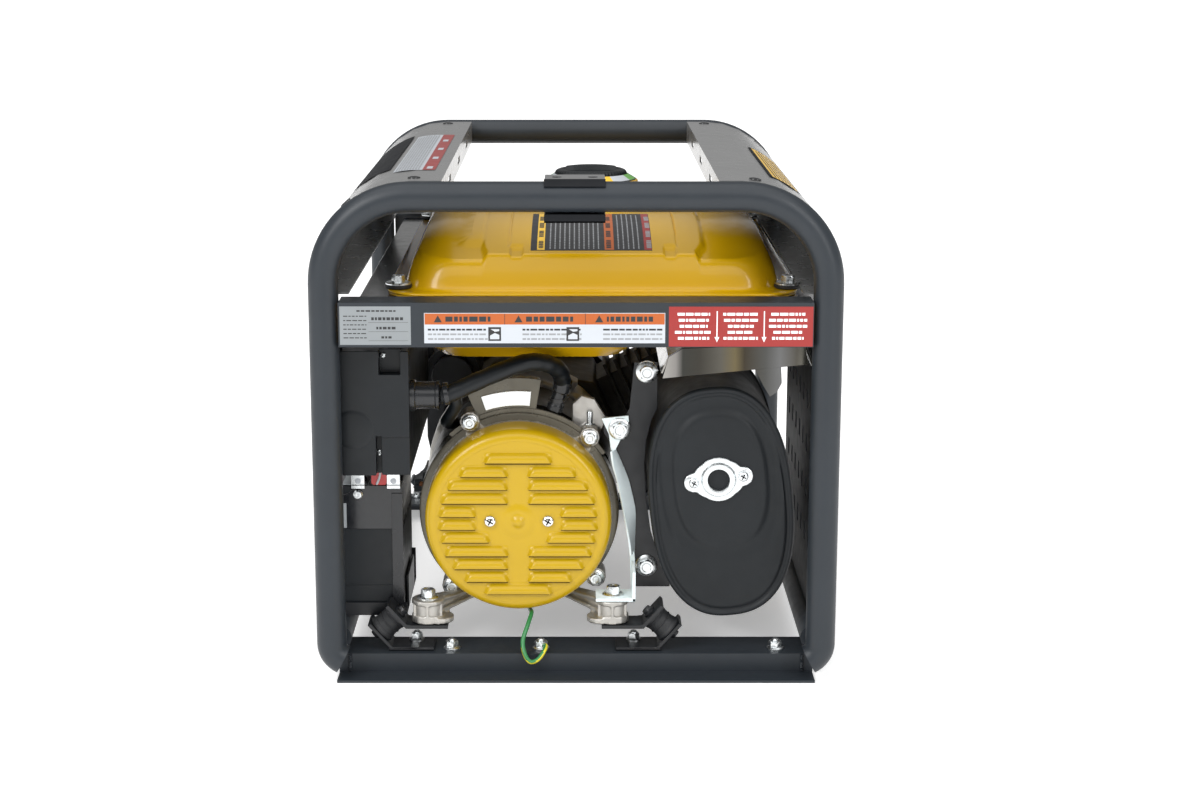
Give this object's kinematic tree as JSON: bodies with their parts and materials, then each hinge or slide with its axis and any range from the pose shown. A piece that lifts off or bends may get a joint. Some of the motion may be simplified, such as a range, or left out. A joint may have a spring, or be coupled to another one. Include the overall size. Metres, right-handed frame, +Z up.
{
  "type": "portable generator",
  "caption": "Open-frame petrol generator with tube hoops, top tank, louvred alternator cover, oval muffler, battery and side control panel.",
  "frame": {"origin": "on the ground plane under the centre of the frame (centre of the bounding box base)", "axes": "+Z up, +Y from the alternator end to the recoil-starter end, +X from the control-panel side to the muffler side"},
  "size_m": [0.4392, 0.5842, 0.4246],
  "materials": {
    "frame_paint": "satin charcoal powder coat",
    "tank_paint": "high gloss yellow enamel",
    "black_steel": "satin black paint on pressed steel",
    "muffler_paint": "matte heat-proof black",
    "black_plastic": "fine-grained moulded black",
    "red_plastic": "gloss red moulding",
    "mount_rubber": "matte black rubber",
    "cast_aluminium": "as-cast, bead blasted",
    "zinc_plate": "bright zinc plate",
    "bare_steel": "machined and laminated steel",
    "winding_copper": "varnished copper winding over steel poles",
    "hose_rubber": "smooth black rubber",
    "wire_green": "green PVC with yellow stripe"
  },
  "bodies": {
    "chassis": {"front_hoop": "frame_paint", "rear_hoop": "frame_paint", "front_crossmember": "frame_paint", "rear_crossmember": "frame_paint", "left_bottom_rail": "frame_paint", "right_bottom_rail": "frame_paint", "left_top_cover": "frame_paint", "right_top_cover": "frame_paint", "front_label_plate": "frame_paint", "rear_cross_plate": "frame_paint", "left_tank_rail": "frame_paint", "right_tank_rail": "frame_paint", "top_latch_clip": "black_steel", "right_side_guard": "black_steel", "battery_tray": "black_steel", "outer_bracket_front_right": "black_steel", "outer_bracket_front_left": "black_steel", "inner_bracket_front_right": "black_steel", "inner_bracket_front_left": "black_steel", "stay_plate": "black_steel", "blower_housing": "black_steel", "rocker_cover": "black_steel", "starter_motor": "black_steel", "tank_upper_shell": "tank_paint", "tank_lower_shell": "tank_paint", "alternator_end_cover": "tank_paint", "recoil_cover": "black_plastic", "air_cleaner": "black_plastic", "control_box": "black_plastic", "control_panel": "black_plastic", "battery": "black_plastic", "isolator_front_right": "mount_rubber", "isolator_front_left": "mount_rubber", "isolator_rear_right": "mount_rubber", "isolator_rear_left": "mount_rubber", "fuel_valve_body": "cast_aluminium", "alternator_end_bracket": "cast_aluminium", "alternator_adapter": "cast_aluminium", "crankcase": "cast_aluminium", "cylinder_head": "cast_aluminium", "carburettor": "cast_aluminium", "spark_arrestor_flange": "zinc_plate", "heat_shield": "zinc_plate", "zinc_strap": "zinc_plate", "stator_core": "bare_steel", "exhaust_pipe": "bare_steel", "fuel_hose": "hose_rubber", "harness_sleeve": "hose_rubber", "ground_wire": "wire_green", "muffler_body": "muffler_paint"},
    "shaft": {"rotor": "winding_copper", "crankshaft": "bare_steel", "flywheel": "cast_aluminium"},
    "cap": {"fuel_cap": "black_plastic"},
    "fuel_lever": {"fuel_valve_lever": "red_plastic"},
    "choke": {"choke_lever": "black_plastic"},
    "handle": {"recoil_handle": "black_plastic"},
    "switch": {"engine_switch_rocker": "red_plastic"},
    "breaker": {"breaker_button": "black_plastic"},
    "oil_cap": {"oil_filler_cap": "black_plastic"}
  },
  "joints": [
    {"name": "shaft_spin", "type": "hinge", "parent": "chassis", "child": "shaft", "pos_m": [-0.0495, 0, 0.13], "axis": [0, 1, 0], "continuous": true},
    {"name": "cap_turn", "type": "hinge", "parent": "chassis", "child": "cap", "pos_m": [0.0144, 0.06, 0.39], "axis": [0, 0, 1], "range_deg": [0, 90]},
    {"name": "fuel_valve_turn", "type": "hinge", "parent": "chassis", "child": "fuel_lever", "pos_m": [-0.11, 0.15, 0.252], "axis": [1, 0, 0], "range_deg": [0, 90]},
    {"name": "choke_turn", "type": "hinge", "parent": "chassis", "child": "choke", "pos_m": [0.101, 0.138, 0.19], "axis": [1, 0, 0], "range_deg": [0, 50]},
    {"name": "recoil_pull", "type": "slide", "parent": "chassis", "child": "handle", "axis": [0, 1, 0], "range_m": [0, 0.6], "stiffness_N_per_m": 12, "springref_m": -0.5},
    {"name": "switch_rock", "type": "hinge", "parent": "chassis", "child": "switch", "pos_m": [-0.1973, -0.216, 0.25], "axis": [0, -1, 0], "range_deg": [0, 18]},
    {"name": "breaker_push", "type": "slide", "parent": "chassis", "child": "breaker", "axis": [1, 0, 0], "range_m": [0, 0.003], "stiffness_N_per_m": 800, "springref_m": -0.0015},
    {"name": "oil_cap_turn", "type": "hinge", "parent": "chassis", "child": "oil_cap", "pos_m": [-0.15, 0.05, 0.084], "axis": [1, 0, 0], "range_deg": [0, 360]}
  ]
}
